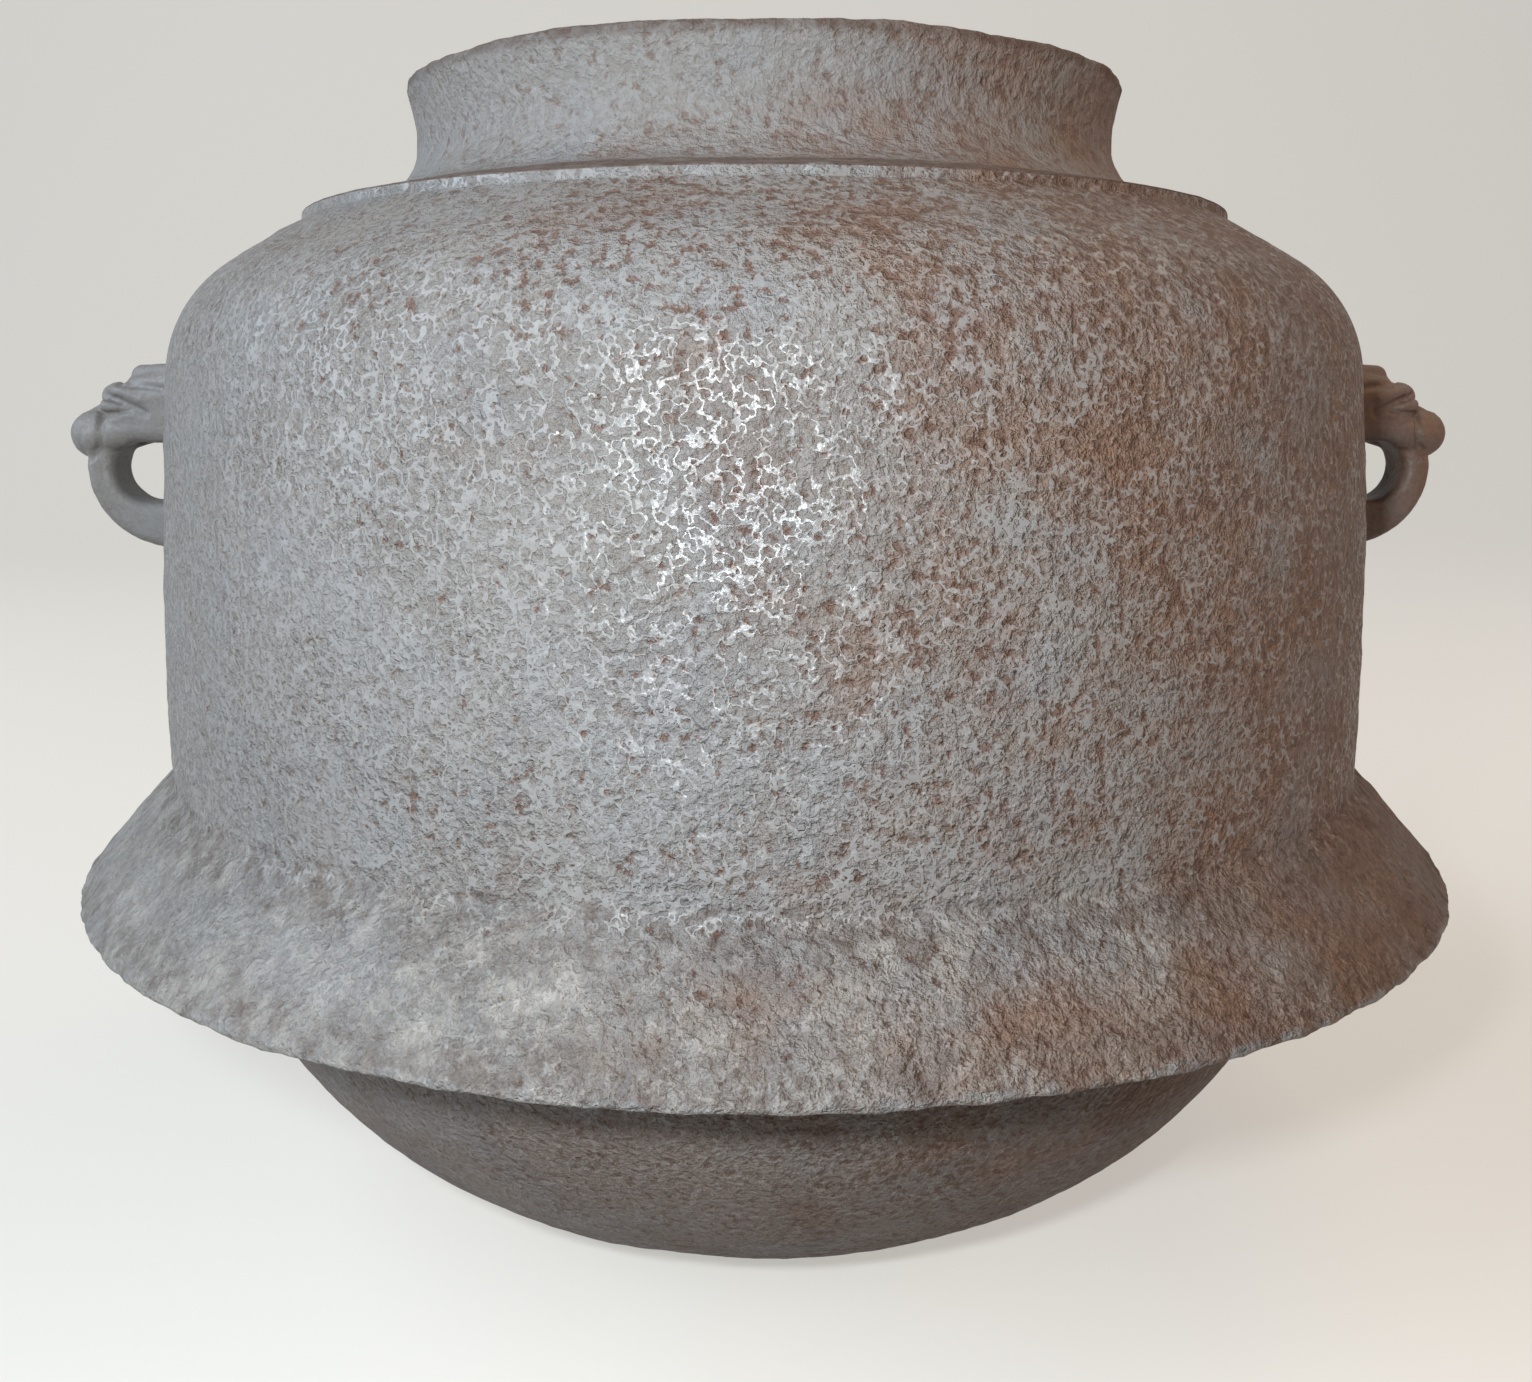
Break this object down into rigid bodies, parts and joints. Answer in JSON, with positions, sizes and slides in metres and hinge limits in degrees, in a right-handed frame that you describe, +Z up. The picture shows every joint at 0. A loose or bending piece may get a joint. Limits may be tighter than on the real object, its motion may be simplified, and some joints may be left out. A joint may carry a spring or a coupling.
{
  "type": "tea kettle",
  "caption": "Brimmed cast-iron tea kettle with a stepped shoulder, flared mouth, rounded bottom, mask lugs with eyes for carrying rings, and a lift-off bronze lid.",
  "frame": {"origin": "centre of the flat foot", "axes": "+Z up along the kettle's axis, lugs on the X axis, -Y towards the viewer in the picture"},
  "size_m": [0.2588, 0.25, 0.2128],
  "materials": {
    "iron_skin": "rough cast skin, browned",
    "iron_bowl": "fine sandy cast skin, browned",
    "iron_lug": "smooth cast skin, browned",
    "plate_iron": "dull, water-stained",
    "lacquer": "dark lacquer mixed with iron powder",
    "lid_bronze": "dark brown patina",
    "knob_bronze": "brown patina, rubbed on the high points"
  },
  "bodies": {
    "kettle": {"upper_body": "iron_skin", "bottom_pan": "iron_bowl", "seam_putty": "lacquer", "left_lug": "iron_lug", "right_lug": "iron_lug", "singing_plate_1": "plate_iron", "singing_plate_2": "plate_iron", "singing_plate_3": "plate_iron", "singing_plate_4": "plate_iron", "singing_plate_5": "plate_iron", "lacquer_pad_1": "lacquer", "lacquer_pad_2": "lacquer", "lacquer_pad_3": "lacquer", "lacquer_pad_4": "lacquer", "lacquer_pad_5": "lacquer"},
    "lid": {"lid": "lid_bronze", "knob_seat": "knob_bronze", "lid_knob": "knob_bronze", "knob_pin": "knob_bronze", "pin_washer": "knob_bronze"}
  },
  "joints": [
    {"name": "lid_lift", "type": "slide", "parent": "kettle", "child": "lid", "axis": [0, 0, 1], "range_m": [0, 0.12]}
  ]
}
